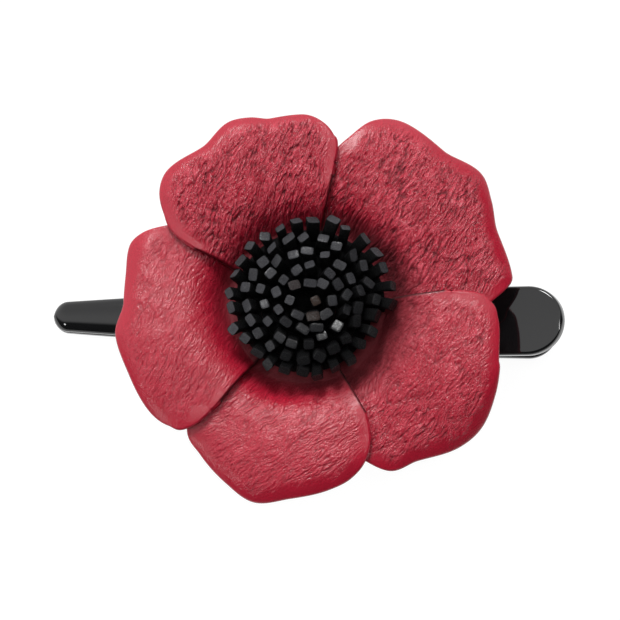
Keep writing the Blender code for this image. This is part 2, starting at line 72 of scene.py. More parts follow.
# ---- clip ------------------------------------------------------------------------
TIP_REACH = 52.1 * MM
TAB_REACH = 52.1 * MM
UPPER_WIDTH = UPPER_HIGH.y - UPPER_LOW.y
LOWER_WIDTH = LOWER_HIGH.y - LOWER_LOW.y
TIP_WIDTH = 5.8 * MM
TAPER_END = 12.0 * MM
JAW_THICK = 2.6 * MM
ARCH_RISE = 3.3 * MM
TIP_LIFT = 1.0 * MM
TAB_EDGE = 0.8 * MM
GAP = 0.3 * MM
EAR_RADIUS = 2.2 * MM
EAR_THICK = 1.3 * MM
EAR_SIDES = 72
PIN_RADIUS = 1.0 * MM
WIRE_RADIUS = 0.45 * MM
COIL_RADIUS = 2.0 * MM
SPRING_TURNS = 3
SPRING_LEG = 12.0 * MM
TAB_SLOPE = math.radians(20.0)
TAB_BEND = 4.0 * MM
SPRING_ROOM = 0.15 * MM
CROWN_RISE = 0.6 * MM
UPPER_UNDER_HINGE = HINGE.z + COIL_RADIUS + WIRE_RADIUS + GAP + SPRING_ROOM
CROWN_TOP = UPPER_UNDER_HINGE + JAW_THICK + CROWN_RISE
BEAK_LENGTH = 5.0 * MM
BEAK_RISE = 0.9 * MM
# The upper jaw's top is domed as far as DOME_FROM along X, and flat beyond DOME_TO.
DOME_FROM, DOME_TO = -18.0 * MM, 14.0 * MM
DOME_DROP = 0.8 * MM
DOMED_TIP, FLAT_TIP = 3.0 * MM, 0.5 * MM
FOOT_EDGE = 0.45 * MM
# Marks of the arch: distance from the tip in mm, and share of ARCH_RISE below the crown.
ARCH = ((14, 0.8), (26, 0.3), (40, 0.05))
TOOTH_HEIGHT = 1.0 * MM
TOOTH_BASE = 1.5 * MM
TOOTH_PITCH = 3.6 * MM
TOOTH_COUNT = 16
TOOTH_START = -42.0 * MM
TOOTH_INSET = 1.5 * MM
TOOTH_SIDES = 16
# Rings of a tooth: share of TOOTH_BASE across, and share of TOOTH_HEIGHT above the jaw.
TOOTH_RINGS = ((1.15, -0.3), (0.9, 0.1), (0.55, 0.5), (0.24, 0.86), (0.12, 0.96))

# ---- flower ----------------------------------------------------------------------
FLOWER_Y = (DISC_LOW.y + DISC_HIGH.y) / 2
LEATHER = 1.2 * MM
PETAL_REACH = 40.0 * MM
BASE_RADIUS = 5.0 * MM
CUP_DEPTH = 7.2 * MM
# Section of the flower: share of PETAL_REACH, and share of CUP_DEPTH.
SECTION = ((0, 0), (.39, 0), (.42, .08), (.46, .36), (.505, .66), (.565, .87), (.65, .98),
           (.74, 1.0), (.85, .96), (.95, .84), (1.03, .68), (1.15, .35))
# The dips along the seams, and the lifted stretch of rim, begin at a share of PETAL_REACH.
VALLEY = 1.1 * MM
VALLEY_FROM, VALLEY_SPAN = 0.32, 0.4
RIM_LIFT = 2.6 * MM
LIFT_ANGLE, LIFT_WIDTH = -14.0, 20.0
LIFT_FROM, LIFT_SPAN = 0.62, 0.38
PETAL_GAP = 0.6 * MM
LAYER = (LEATHER + PETAL_GAP) / 2
PETAL_BASE = DISC_HIGH.z + GAP + LEATHER / 2 + LAYER
SIDE_WAIST = 0.96
LAYER_HOLD = 0.13
COLUMNS = 262
ROWS = 184
ROW_SPREAD = 0.11
EDGE_ROUND = 0.55 * MM
CURL_WIDTH = 3.6 * MM
CURL_DROP = 0.9 * MM

# Creases in layers: angle from the petal's crease direction, length and width of the waves in
# mm, weight in the relief, and number for the seed.
CREASE_LAYERS = ((0, 4.6, 1.00, 0.44, 3), (10, 2.6, 0.62, 0.25, 4), (-25, 1.5, 0.7, 0.10, 5))
CREASE_WAVE = 0.085
CREASE_WEIGHT = 0.40
RIDGE_WAVE = 0.26
BUMP_HEIGHT = 0.15
DENT_HEIGHT = 0.12
SUEDE_HEIGHT = 0.02
# Distances from the rim, and from any edge, between which the relief grows to its full height.
BURNISH_LOW, BURNISH_HIGH, BURNISH_WANDER = 1.2 * MM, 3.6 * MM, 0.9 * MM
BARE_LOW, BARE_HIGH = 0.1 * MM, 1.2 * MM
# Radii between which the painted shade of the well fades, and how much further it reaches (as a share)
# on one side, whose direction is an angle in degrees: there it is a painted shadow of the fringed
# centre.
WELL_SHADE_LOW, WELL_SHADE_HIGH = 14.5 * MM, 20.5 * MM
SHADOW_SHIFT, SHADOW_ANGLE = 0.26, -12.0

# Rim marks of each petal about the flower's axis: angle from +X in degrees, and radius as a
# share of PETAL_REACH. Then the petal's sides over (+1) or under (-1) its neighbours, the
# direction of its creases in degrees, how deep they are, and its seed.
PETALS = {
    "petal_upper_right": (
        ((-5, .70), (-3, .85), (2, .93), (9, 1.05), (22, 1.035), (31, 1.08), (38, 1.115),
         (50, 1.05), (62, 1.06), (72, .995), (77, .88), (81, .79), (84.5, .68)),
        (-1, -1), 62.0, 1.0, 11),
    "petal_right": (
        ((287, .68), (288.5, .78), (292, .855), (297.5, .94), (306, .965), (318, 1.05),
         (325, 1.07), (335, 1.04), (347, .985), (356, .955), (361, .92), (365, .82),
         (366.5, .68)),
        (-1, 1), 55.0, 0.64, 23),
    "petal_lower": (
        ((222.5, .68), (225, .81), (228, .88), (236, .93), (247, .99), (256, 1.03),
         (266, .98), (278, .935), (285, .90), (292, .83), (296.5, .74), (299.6, .62)),
        (-1, 1), 38.0, 0.42, 37),
    "petal_left": (
        ((146.5, .65), (148.5, .75), (152, .81), (158, .91), (163, .945), (172, .925),
         (181, .92), (191, .97), (202, .955), (215, .95), (223, .92), (228, .86),
         (230, .75), (230.5, .65)),
        (-1, 1), 65.0, 0.34, 41),
    "petal_upper_left": (
        ((79.6, .65), (80, .79), (82.5, .86), (87.5, .925), (93, .95), (102.5, .945),
         (108.5, .975), (114, .99), (125, .94), (137, .965), (143.5, .93), (149, .85),
         (154.5, .73), (156.2, .62)),
        (1, 1), 68.0, 1.0, 59),
}
SEAMS = (5.0, 80.0, 154.0, 230.0, 299.0)

# ---- fringed centre -----------------------------------------------------------------
STRIP_THICK = 1.9 * MM
STRIP_HEIGHT = 7.6 * MM
STRIP_UNCUT = 2.0 * MM
FINGER_PITCH = 2.95 * MM
FINGER_WIDTH = 2.45 * MM
TIP_SWELL = 1.05
FINGER_COUNT = 88
ROLL_PITCH = 2.45 * MM
ROLL_START = 1.7 * MM
ROLL_END = math.radians(4)
ROLL_SPREAD = 1.21
STRIP_DROOP = 0.10
FINGER_RINGS, FINGER_SIDES = 12, 24
FINGER_ROOT = 0.8
# Spreads of the random lean in mm, twist in radians, and slope of the cut end.
FINGER_LEAN = 0.31
FINGER_TWIST = 0.34
TILT_ALONG, TILT_ACROSS = 0.24, 0.22
SQUARENESS = 0.42
# Rings that close a finger's cut end: size, and rise above the last ring of the body in mm.
CAP = ((0.96, 0.06), (0.88, 0.09), (0.55, 0.10), (0.2, 0.10))
# Cut ends towards this side of the flower are painted paler, as if lit, and are matte; away from it
# they are painted near black as shade and are glossier.
LIT_SIDE = (-0.55, 0.84, 0)
# Fingers that show raw brown leather, by number along the strip, and how much.
RAW_FINGERS = {0: 0.9, 1: 0.7, 4: 0.5}
STRIP_BOTTOM = PETAL_BASE + LAYER + LEATHER / 2 + GAP


# ---- surfaces --------------------------------------------------------------------
def smooth_through(marks, at):
    """Cubic curve through (x, y) marks that never overshoots them, read at the places `at`."""
    x, y = np.array(marks, float).T
    step = np.diff(x)
    rise = np.diff(y) / step
    slope = np.concatenate(([rise[0]], (rise[1:] + rise[:-1]) / 2, [rise[-1]]))
    steepest = 3 * np.minimum(np.abs(rise[1:]), np.abs(rise[:-1])) * (rise[1:] * rise[:-1] > 0)
    slope[1:-1] = np.clip(slope[1:-1], -steepest, steepest)
    i = np.clip(np.searchsorted(x, at) - 1, 0, len(step) - 1)
    t = (at - x[i]) / step[i]
    return (y[i] * (1 + 2 * t) * (1 - t) ** 2 + slope[i] * step[i] * t * (1 - t) ** 2
            + y[i + 1] * t * t * (3 - 2 * t) - slope[i + 1] * step[i] * t * t * (1 - t))


def ease(value, low, high):
    """0 below low, 1 above high, and a smooth step between them."""
    t = np.clip((value - low) / (high - low), 0, 1)
    return t * t * (3 - 2 * t)


def round_edge(away, radius):
    """Height of a round edge at a distance from it: 0 at the edge, 1 at its radius and beyond."""
    return np.sqrt(1 - (1 - np.clip(away / radius, 0, 1)) ** 2)


def unit(vectors):
    """Vectors of length 1 in the same directions."""
    return vectors / np.linalg.norm(vectors, axis=-1, keepdims=True)


def circle(count, start=0.0):
    """Cosine and sine at even steps round a circle."""
    turn = np.linspace(0, 2 * math.pi, count, endpoint=False) + start
    return np.cos(turn), np.sin(turn)


def squared(value, power):
    """A cosine or sine drawn towards 1 or -1, so that a circle becomes a rounded square."""
    return np.sign(value) * np.abs(value) ** power


def noise(x, y, seed):
    """Gradient noise, about -1 to 1: each unit square blends slopes drawn for its corners."""
    table = np.random.default_rng(seed).permutation(256)
    column, row = np.floor(x).astype(int), np.floor(y).astype(int)
    fx, fy = x - column, y - row
    blend_x = fx ** 3 * (fx * (fx * 6 - 15) + 10)
    blend_y = fy ** 3 * (fy * (fy * 6 - 15) + 10)

    def corner(right, up):
        mixed = table[(table[(column + right) & 255] + row + up) & 255]
        turn = mixed * (2 * math.pi / 256)
        return np.cos(turn) * (fx - right) + np.sin(turn) * (fy - up)

    low = corner(0, 0) * (1 - blend_x) + corner(1, 0) * blend_x
    high = corner(0, 1) * (1 - blend_x) + corner(1, 1) * blend_x
    return 1.5 * (low * (1 - blend_y) + high * blend_y)


def grid_faces(rows, columns, wrap_rows=False, wrap_columns=False):
    """Quads of a grid of rows by columns points, numbered row by row."""
    i = np.arange(rows if wrap_rows else rows - 1)[:, None]
    j = np.arange(columns if wrap_columns else columns - 1)[None, :]
    after_i, after_j = (i + 1) % rows, (j + 1) % columns
    quads = np.stack(np.broadcast_arrays(i * columns + j, i * columns + after_j,
                                         after_i * columns + after_j, after_i * columns + j), -1)
    return quads.reshape(-1, 4)


def joined(shells):
    """One (points, faces) pair from several, with each face list shifted to its points."""
    points, faces, start = [], [], 0
    for shell_points, shell_faces in shells:
        points.append(shell_points)
        faces += [tuple(int(k) + start for k in face) for face in shell_faces]
        start += len(shell_points)
    return np.concatenate(points), faces


def closed_tube(rings):
    """Closed shell from an array of rings (ring, point, xyz): quads between, a fan at each end."""
    count, size = rings.shape[:2]
    points = np.concatenate((rings.reshape(-1, 3), rings[0].mean(0)[None], rings[-1].mean(0)[None]))
    quads = grid_faces(count, size, wrap_columns=True)
    k = np.arange(size)
    after = (k + 1) % size
    first, last = count * size, count * size + 1
    start_fan = np.stack((after, k, np.full(size, first)), -1)
    end_fan = np.stack((k + (count - 1) * size, after + (count - 1) * size, np.full(size, last)), -1)
    return points, [*map(tuple, quads), *map(tuple, start_fan), *map(tuple, end_fan)]


def outward(points, faces):
    """The same faces, turned over if the shell they close would hold a negative volume."""
    a, b, c = (points[[face[k] for face in faces]] for k in (0, 1, 2))
    d = points[[face[-1] for face in faces]]
    volume = (np.einsum("ij,ij->i", a, np.cross(b, c)) + np.einsum("ij,ij->i", a, np.cross(c, d))).sum()
    return faces if volume > 0 else [face[::-1] for face in faces]


def new_piece(name, shells, body, node, slot, finish, **values):
    """Smooth-shaded object from closed shells, with point values, riding in a CAD node's place."""
    shells = [(points, outward(points, faces)) for points, faces in shells]
    points, faces = joined(shells)
    mesh = bpy.data.meshes.new(name)
    mesh.from_pydata(points, [], faces)
    for label, numbers in values.items():
        mesh.attributes.new(label, "FLOAT", "POINT").data.foreach_set("value", np.ravel(numbers))
    mesh.materials.append(finish)
    mesh.shade_smooth()
    piece = bpy.data.objects.new(name, mesh)
    bpy.context.scene.collection.objects.link(piece)
    if body:
        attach(piece, body)
    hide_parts(node)
    return piece


# ---- materials -------------------------------------------------------------------
class Wire:
    """One output socket in a finish. Arithmetic on it adds Math nodes."""

    def __init__(self, finish, socket):
        self.finish, self.socket = finish, socket

    def math(self, operation, *values):
        return self.finish.node("Math", {"operation": operation}, *values)

    def __add__(self, other):
        return self.math("ADD", self, other)

    def __sub__(self, other):
        return self.math("SUBTRACT", self, other)

    def __rsub__(self, other):
        return self.math("SUBTRACT", other, self)

    def __mul__(self, other):
        return self.math("MULTIPLY", self, other)

    def clamp(self):
        return self.math("MINIMUM", self.math("MAXIMUM", self, 0.0), 1.0)

    __radd__ = __add__


class Finish:
    """A material, built node by node."""

    def __init__(self, name, **constants):
        self.material = bpy.data.materials.new(name)
        self.material.use_nodes = True
        self.tree = self.material.node_tree
        self.shader = self.tree.nodes["Principled BSDF"]
        for label, value in constants.items():
            self.shader.inputs[label.replace("_", " ")].default_value = value

    def node(self, kind, settings, *values, output=0, **named):
        """Add a node: settings first, then its sockets in order, then its sockets by name."""
        made = self.tree.nodes.new("ShaderNode" + kind)
        for label, value in settings.items():
            setattr(made, label, value)
        pairs = [*zip(made.inputs, values)]
        pairs += [(made.inputs[label.replace("_", " ")], value) for label, value in named.items()]
        for socket, value in pairs:
            self.feed(socket, value)
        return Wire(self, made.outputs[output])

    def feed(self, socket, value):
        if isinstance(value, Wire):
            self.tree.links.new(value.socket, socket)
        else:
            socket.default_value = value

    def surface(self, **named):
        for label, value in named.items():
            self.feed(self.shader.inputs[label.replace("_", " ")], value)

    def place(self, scale=(1.0, 1.0, 1.0)):
        """Place on the piece in metres, stretched by a scale along each axis."""
        where = self.node("TexCoord", {}, output="Object")
        return self.node("Mapping", {}, Vector=where, Scale=scale)

    def value(self, label):
        """A point value that new_piece has stored on the mesh."""
        return self.node("Attribute", {"attribute_name": label}, output="Fac")

    def cloud(self, scale, detail=3.0, rough=0.5, where=None):
        """Noise texture at a scale in features per metre, 0 to 1."""
        where = where or self.place()
        return self.node("TexNoise", {}, Vector=where, Scale=scale, Detail=detail, Roughness=rough)

    def mix(self, factor, low, high):
        made = self.tree.nodes.new("ShaderNodeMix")
        made.data_type = "RGBA"
        self.feed(made.inputs["Factor"], factor)
        self.feed(made.inputs["A"], low)
        self.feed(made.inputs["B"], high)
        return Wire(self, made.outputs["Result"])

    def bump(self, height, distance, strength=1.0):
        return self.node("Bump", {}, Strength=strength, Distance=distance, Height=height)


def red_leather():
    """Wrinkled red leather: creases painted dark as shade and matte, ridges with a painted pale pink
    highlight, fine broken grain and pores.

    The well is painted darker as shade, reaching further on one side as a painted shadow of the fringed
    centre, and is duller; the seam edges are painted dark as shade where petals overlap; the underside
    is brown suede.
    """
    finish = Finish("red_leather", Specular_IOR_Level=0.5)
    crease, under = finish.value("crease"), finish.value("under")
    depth, well = finish.value("grain"), finish.value("well")
    patch = finish.cloud(170.0, 3.0)
    fine = finish.cloud(2600.0, 4.0, 0.6)
    along = finish.node("CombineXYZ", {}, X=finish.value("run") * 0.36, Y=finish.value("over"))
    strand = finish.cloud(1700.0, 1.0, 0.5, where=along)
    line = (0.42 - strand).clamp() * 4.0
    beads = finish.cloud(3000.0, 2.0, 0.6, where=along)
    spots = finish.node("TexVoronoi", {"feature": "F1"}, Vector=finish.place(), Scale=620.0)
    pore = (1.0 - spots * 6.5).clamp()
    colour = finish.mix(patch, (0.32, 0.006, 0.021, 1), (0.41, 0.011, 0.031, 1))
    # Painted shade: creases and fine grain grooves are darkened.
    dark = (crease * 0.85 + line * depth * 0.5).clamp()
    colour = finish.mix(dark, colour, (0.105, 0.001, 0.007, 1))
    # Painted highlight: ridge tops are mixed towards pale pink.
    ridge_highlight = finish.value("ridge") * (beads * 1.1 + patch * 0.5 - 0.35) * 1.6
    colour = finish.mix(ridge_highlight.clamp(), colour, (0.64, 0.085, 0.120, 1))
    # Painted shade in the well round the fringed centre, with its painted shadow reaching further to
    # one side.
    colour = finish.mix(well * 0.72, colour, (0.050, 0.0006, 0.003, 1))
    # Painted shade along the seams, where one petal lies over the next.
    colour = finish.mix(finish.value("edge") * 0.85, colour, (0.012, 0.0006, 0.001, 1))
    colour = finish.mix(pore * 0.35, colour, (0.14, 0.003, 0.010, 1))
    suede = finish.mix(fine, (0.030, 0.004, 0.006, 1), (0.070, 0.010, 0.013, 1))
    colour = finish.mix(under, colour, suede)
    rough = 0.19 + well * 0.5 + fine * 0.12 + crease * 0.4 + under * 0.5
    height = beads * (0.06 + depth * 0.94) + fine * 0.12
    height = height - line * depth * 0.6 - pore * (0.06 + depth * 0.35)
    finish.surface(Base_Color=colour, Roughness=rough, Normal=finish.bump(height, 0.00048))
    return finish.material


def black_leather():
    """Black leather: smooth dark faces, and paler matte fibre where it was cut; cut ends away from the
    lit side are painted near black as shade and glossier.
    """
    finish = Finish("black_leather", Specular_IOR_Level=0.12, Coat_Roughness=0.28)
    cut = finish.value("cut")
    fine = finish.cloud(2400.0, 4.0, 0.65)
    patch = finish.cloud(500.0, 2.0)
    shade_and_gloss = 1.0 - finish.value("dull")
    face = finish.mix(fine, (0.0010, 0.0010, 0.0012, 1), (0.003, 0.003, 0.0036, 1))
    fibre = finish.mix(patch, (0.038, 0.038, 0.043, 1), (0.078, 0.078, 0.086, 1))
    # Painted shade: cut ends away from the lit side are mixed towards near black.
    fibre = finish.mix(shade_and_gloss, fibre, (0.007, 0.007, 0.008, 1))
    fibre = finish.mix(finish.value("raw"), fibre, (0.034, 0.019, 0.013, 1))
    flecks = (finish.cloud(3300.0, 2.0, 0.7) * 5.0 - 2.45).clamp()
    finish.surface(Base_Color=finish.mix(cut, face, fibre),
                   Roughness=0.55 + fine * 0.2 + cut * 0.1 - flecks * 0.2,
                   Coat_Weight=(shade_and_gloss * cut * 0.35 + flecks * cut * 0.6).clamp(),
                   Normal=finish.bump(fine + flecks * 0.6, 0.00035))
    return finish.material


def black_plastic():
    """Polished black plastic with a very faint waviness."""
    finish = Finish("black_plastic", IOR=1.55)
    wave = finish.cloud(60.0, 1.0)
    haze = finish.cloud(900.0, 4.0)
    colour = finish.mix(haze, (0.0035, 0.0035, 0.004, 1), (0.006, 0.006, 0.0065, 1))
    finish.surface(Base_Color=colour, Roughness=0.035 + haze * 0.03,
                   Normal=finish.bump(wave, 0.00002, 0.3))
    return finish.material


def spring_steel():
    """Drawn steel wire and turned pin: bright, with fine streaks."""
    finish = Finish("steel")
    streak = finish.cloud(700.0, 4.0, where=finish.place(scale=(1.0, 6.0, 1.0)))
    colour = finish.mix(streak, (0.42, 0.42, 0.43, 1), (0.62, 0.62, 0.64, 1))
    finish.surface(Base_Color=colour, Metallic=1.0, Roughness=0.22 + streak * 0.2,
                   Normal=finish.bump(streak, 0.00001))
    return finish.material


def set_glue():
    """Set hot-melt glue: cloudy cream, softly glossy."""
    finish = Finish("glue", Subsurface_Weight=0.2, Subsurface_Scale=0.002)
    cloud = finish.cloud(400.0, 3.0)
    finish.surface(Base_Color=finish.mix(cloud, (0.52, 0.46, 0.34, 1), (0.66, 0.61, 0.48, 1)),
                   Roughness=0.28 + cloud * 0.2, Normal=finish.bump(cloud, 0.0001, 0.5))
    return finish.material



# ---- petals ----------------------------------------------------------------------
def flower_height(radius, angle):
    """Mean surface: a flat well, a steep rise, and a crest that falls to the rim.

    It dips along the seams, and one stretch of rim is lifted clear of the thumb tab.
    """
    share = radius / PETAL_REACH
    profile = smooth_through(SECTION, share) * CUP_DEPTH
    seams = np.array(SEAMS + (SEAMS[0] + 360,))
    place = (angle - seams[0]) % 360 + seams[0]
    k = np.clip(np.searchsorted(seams, place) - 1, 0, len(seams) - 2)
    phase = (place - seams[k]) / (seams[k + 1] - seams[k])
    dip = VALLEY * (0.5 + 0.5 * np.cos(2 * math.pi * phase))
    dip = dip * np.clip((share - VALLEY_FROM) / VALLEY_SPAN, 0, 1)
    beside = (angle - LIFT_ANGLE + 180) % 360 - 180
    lift = RIM_LIFT * np.exp(-(beside / LIFT_WIDTH) ** 2)
    lift = lift * np.clip((share - LIFT_FROM) / LIFT_SPAN, 0, 1) ** 2
    return PETAL_BASE + profile - dip + lift


def rim_points(marks, along):
    """Angle and radius at even steps of length along the rim that joins a petal's marks."""
    angle = np.linspace(marks[0][0], marks[-1][0], 1441)
    reach = smooth_through(marks, angle) * PETAL_REACH
    x, y = reach * np.cos(np.radians(angle)), reach * np.sin(np.radians(angle))
    length = np.concatenate(([0], np.cumsum(np.hypot(np.diff(x), np.diff(y)))))
    angle = np.interp(along * length[-1], length, angle)
    return angle, smooth_through(marks, angle) * PETAL_REACH


def grid_normals(points):
    """Unit normals of a grid of points, from the cross product of its two directions."""
    cross = np.cross(np.gradient(points, axis=1), np.gradient(points, axis=0))
    return unit(cross * np.sign(cross[..., 2:].mean()))


def edge_distance(x, y, edge_x, edge_y):
    """Distance of each grid point from the nearest of the edge's points, in plan."""
    nearest = np.full(x.shape, np.inf)
    batch = 40
    for start in range(0, len(edge_x), batch):
        span = slice(start, start + batch)
        away = np.hypot(x[..., None] - edge_x[span], y[..., None] - edge_y[span])
        nearest = np.minimum(nearest, away.min(-1))
    return nearest


def leather_relief(x, y, turn, depth, seed):
    """Height of the creased grain in mm, how far each point is crease or ridge, and where it lies.

    x and y are in mm. Creases are the zero lines of noise stretched along the petal's crease
    direction, with soft ridges between them. Layers at different angles make them fork and
    end. The last two results run along and across the creases.
    """
    height, creases = 0.0, 0.0
    strength = np.clip(depth * (0.80 + 0.55 * noise(x / 7.0, y / 7.0, seed + 8)), 0, 1.3)
    for layer_turn, long, wide, weight, number in CREASE_LAYERS:
        angle = math.radians(turn + layer_turn)
        c, s = math.cos(angle), math.sin(angle)
        run, over = x * c + y * s, y * c - x * s
        over = over + 0.55 * noise(x / 5.0, y / 5.0, seed + number + 20)
        over = over + 0.12 * noise(x / 1.5, y / 1.5, seed + number + 30)
        wave = noise(run / long, over / wide, seed + number)
        broken = ease(noise(run / 3.6, over / 1.8, seed + number + 40), -0.55, 0.05)
        ridge = np.sqrt(np.clip(np.abs(wave) / RIDGE_WAVE, 0.0, 1.0))
        height = height + weight * broken * (ridge - 1)
        creases = creases + broken * np.exp(-(wave / CREASE_WAVE) ** 2) * weight / CREASE_WEIGHT
        if number == 3:
            along, across = run, over
    bumps = BUMP_HEIGHT * noise(along / 2.2, across / 0.45, seed + 9)
    dents = DENT_HEIGHT * noise(x / 4.0, y / 4.0, seed + 7)
    ridges = ease(height + 1.4 * bumps, -0.16, 0.16) * np.clip(strength, 0, 1)
    creases = np.clip(strength * creases, 0, 1)
    return strength * (height + bumps) + dents, creases, ridges, along, across


def petal_grid(marks):
    """Angle, radius and share across of the points of a grid from the base arc to the rim."""
    first, last = marks[0][0], marks[-1][0]
    along = np.linspace(0, 1, COLUMNS)
    rim_angle, reach = rim_points(marks, along)
    t = np.linspace(0, 1, ROWS)
    up = (t + ROW_SPREAD * np.sin(math.pi * t))[:, None]
    even = first + (last - first) * along
    angle = even + (rim_angle - even) * up ** 2
    radius = BASE_RADIUS + up * (reach[None, :] - BASE_RADIUS)
    widest = marks[0][1] * PETAL_REACH
    waist = SIDE_WAIST + (1 - SIDE_WAIST) * np.clip(
        (radius - BASE_RADIUS) / (widest - BASE_RADIUS), 0, 1) ** 0.8
    centre = (first + last) / 2
    return centre + (angle - centre) * waist, radius, (angle - first) / (last - first)


def make_petal(name, finish):
    """Leather petal: the mean surface between two skins that close in a round rim.

    Its sides lie over or under the neighbours, and its rim curls down. The upper skin carries
    the relief, which fades on the burnished rim, beside the seams and in the well. Point
    values tell the material where the creases, ridges, well and seam edges are.
    """
    marks, (start, stop), turn, depth, seed = PETALS[name]
    angle, radius, across = petal_grid(marks)
    blend = ease(across, LAYER_HOLD, 1 - LAYER_HOLD)
    turned = np.radians(angle)
    x, y = radius * np.cos(turned), radius * np.sin(turned) + FLOWER_Y
    middle = np.stack((x, y, flower_height(radius, angle)), -1)
    middle = middle + grid_normals(middle) * (LAYER * (start + (stop - start) * blend))[..., None]
    x, y = middle[..., 0], middle[..., 1]
    rim = edge_distance(x, y, x[-1], y[-1])
    sides = np.s_[:, [0, -1]]
    seam = edge_distance(x, y, x[sides].reshape(-1), y[sides].reshape(-1))
    border = np.minimum(rim, seam)
    inner = ease(np.minimum(across, 1 - across), 0.04, 0.20)
    curl = np.clip(1 - rim / CURL_WIDTH, 0, 1) ** 2 * (0.25 + 0.75 * inner)
    middle[..., 2] -= CURL_DROP * curl * ease(radius, 20 * MM, 30 * MM)
    normal = grid_normals(middle)
    round_off = round_edge(border, EDGE_ROUND)
    half = LEATHER / 2 * round_off
    relief, crease, ridge, run, over = leather_relief(x / MM, y / MM, turn, depth, seed)
    wander = BURNISH_WANDER * noise(x / (4 * MM), y / (4 * MM), seed + 50)
    fade = ease(rim + wander, BURNISH_LOW, BURNISH_HIGH) * ease(border, BARE_LOW, BARE_HIGH)
    fade *= 0.35 + 0.65 * ease(radius, 14 * MM, 20 * MM)
    suede = SUEDE_HEIGHT * noise(x / (0.5 * MM), y / (0.5 * MM), seed + 8)
    top = middle + normal * (half + relief * MM * fade * round_off)[..., None]
    bottom = middle - normal * (half + suede * MM * round_off)[..., None]
    # Painted shade: the well's darkening is stretched to one side as a painted shadow of the fringed
    # centre.
    shade = 1 + SHADOW_SHIFT * np.clip(np.cos(np.radians(angle - SHADOW_ANGLE)), 0, 1)
    # Painted shade along the seams, where one petal lies over the next.
    seam_shade = (1 - ease(seam, 0.15 * MM, 0.75 * MM)) * (1 - ease(radius, 30 * MM, 38 * MM))
    values = {"crease": crease * fade, "ridge": ridge * fade, "run": run * MM, "over": over * MM,
              "grain": depth * fade, "edge": seam_shade,
              "well": 1 - ease(radius / shade, WELL_SHADE_LOW, WELL_SHADE_HIGH)}
    return petal_shell(name, top, bottom, values, finish)


def petal_shell(name, top, bottom, values, finish):
    """Close the two skins of a petal: they share the points of the border."""
    count = ROWS * COLUMNS
    number = np.arange(count).reshape(ROWS, COLUMNS)
    under = number + count
    for edge in (np.s_[0, :], np.s_[-1, :], np.s_[:, 0], np.s_[:, -1]):
        under[edge] = number[edge]
    quads = grid_faces(ROWS, COLUMNS)
    lower = under.reshape(-1)[quads][:, ::-1]
    inside = np.unique(lower[lower >= count])
    renumber = np.arange(2 * count)
    renumber[inside] = count + np.arange(len(inside))
    points = np.concatenate((top.reshape(-1, 3), bottom.reshape(-1, 3)[inside - count]))
    faces = [*map(tuple, quads), *map(tuple, renumber[lower])]
    is_under = np.concatenate((np.zeros(count), np.ones(len(inside))))
    values = {label: np.concatenate((value.reshape(-1), np.zeros(len(inside))))
              for label, value in values.items()}
    return new_piece(name + "_leather", [(points, faces)], "upper_body", name, "red_leather",
                     finish, under=is_under, **values)


# ---- fringed centre ----------------------------------------------------------------
def roll(length):
    """Radius and angle of the rolled strip at a length along it, from its inner end."""
    growth = ROLL_PITCH / (2 * math.pi)
    turn = (np.sqrt(ROLL_START ** 2 + 2 * growth * length) - ROLL_START) / growth
    whole = np.sqrt(ROLL_START ** 2 + 2 * growth * FINGER_PITCH * FINGER_COUNT)
    end_turn = (whole - ROLL_START) / growth
    radius = ROLL_START + growth * turn
    return radius, end_turn - turn - ROLL_END, radius / whole


def strip_point(length, share):
    """Middle of the strip at a length and a share of its height; the outer turns lean out."""
    radius, angle, outer = roll(length)
    out = radius * (1 + (ROLL_SPREAD - 1) * outer ** 1.2 * share ** 2.2)
    height = STRIP_BOTTOM + STRIP_HEIGHT * share * (1 - STRIP_DROOP * share * outer)
    return np.stack((out * np.cos(angle), FLOWER_Y + out * np.sin(angle), height + 0 * out), -1)


def drift(length):
    """Slow wander of the fringe along the strip, so that neighbours lean together."""
    along = np.array([length / MM])
    towards_x, towards_y = noise(along / 17, along * 0 + 3.1, 91), noise(along / 13, along * 0, 92)
    return 0.55 * np.concatenate((towards_x, towards_y))


